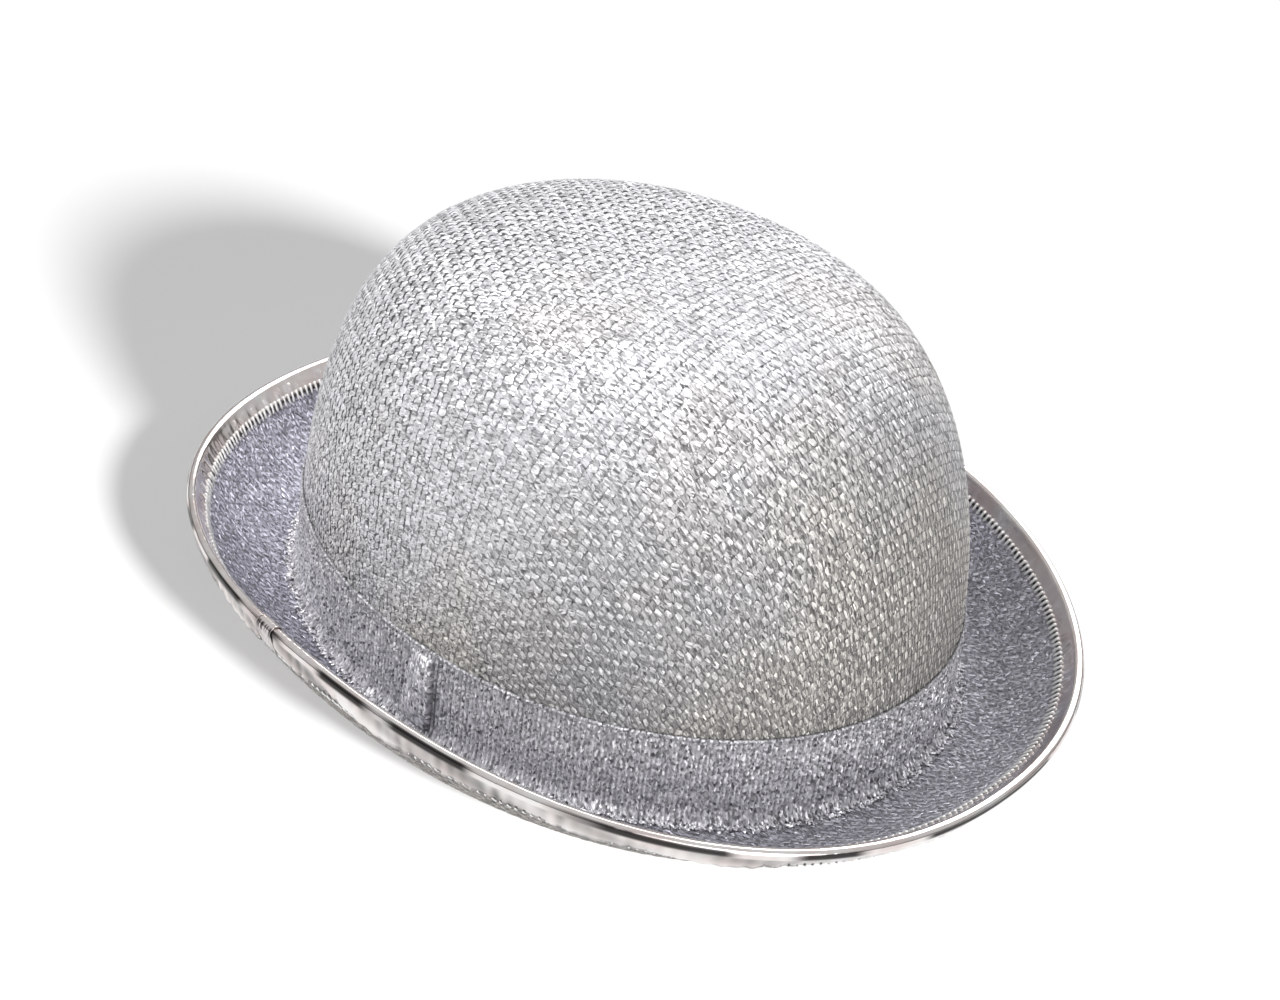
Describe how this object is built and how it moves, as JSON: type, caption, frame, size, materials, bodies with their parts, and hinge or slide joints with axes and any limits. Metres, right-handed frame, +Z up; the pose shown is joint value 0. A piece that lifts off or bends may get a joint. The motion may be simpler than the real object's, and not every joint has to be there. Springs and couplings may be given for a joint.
{
  "type": "bowler hat",
  "caption": "Covered costume bowler hat: domed crown, curled brim with a wired and bound edge, gathered hat band, sweatband, lining and a hinged label.",
  "frame": {"origin": "on the surface the hat stands on, under the middle of the brim", "axes": "+Z up through the crown, front of the hat faces -Y, wearer's left is +X"},
  "size_m": [0.2296, 0.2792, 0.1186],
  "materials": {
    "crown_knit": "coarse silver lurex knit",
    "brim_knit": "silver lurex knit, cooler in tone",
    "band_rib": "fine ribbed silver lurex",
    "former": "stiffened grey felt",
    "foil_tape": "mirror silver foil tape",
    "wire": "drawn spring wire",
    "thread": "grey polyester thread",
    "sweatband": "soft dark grey leatherette",
    "lining": "silver grey satin",
    "label": "blank white satin"
  },
  "bodies": {
    "hat": {"crown_former": "former", "crown_cover": "crown_knit", "head_wire": "wire", "head_collar": "former", "brim_board": "former", "brim_top_cover": "brim_knit", "brim_under_cover": "brim_knit", "edge_wire": "wire", "wire_ferrule": "wire", "edge_binding": "foil_tape", "binding_lap": "foil_tape", "binding_thread": "thread", "hat_band": "band_rib", "band_join": "band_rib", "band_tacks": "thread", "sweatband": "sweatband", "sweatband_seam_tape": "sweatband", "sweatband_thread": "thread", "lining_side": "lining", "lining_tip": "lining", "lining_piping": "lining", "care_label_root": "label"},
    "label": {"care_label": "label"}
  },
  "joints": [
    {"name": "label_flap", "type": "hinge", "parent": "hat", "child": "label", "pos_m": [0, 0.0986, 0.027], "axis": [-1, 0, 0], "range_deg": [0, 120]}
  ]
}
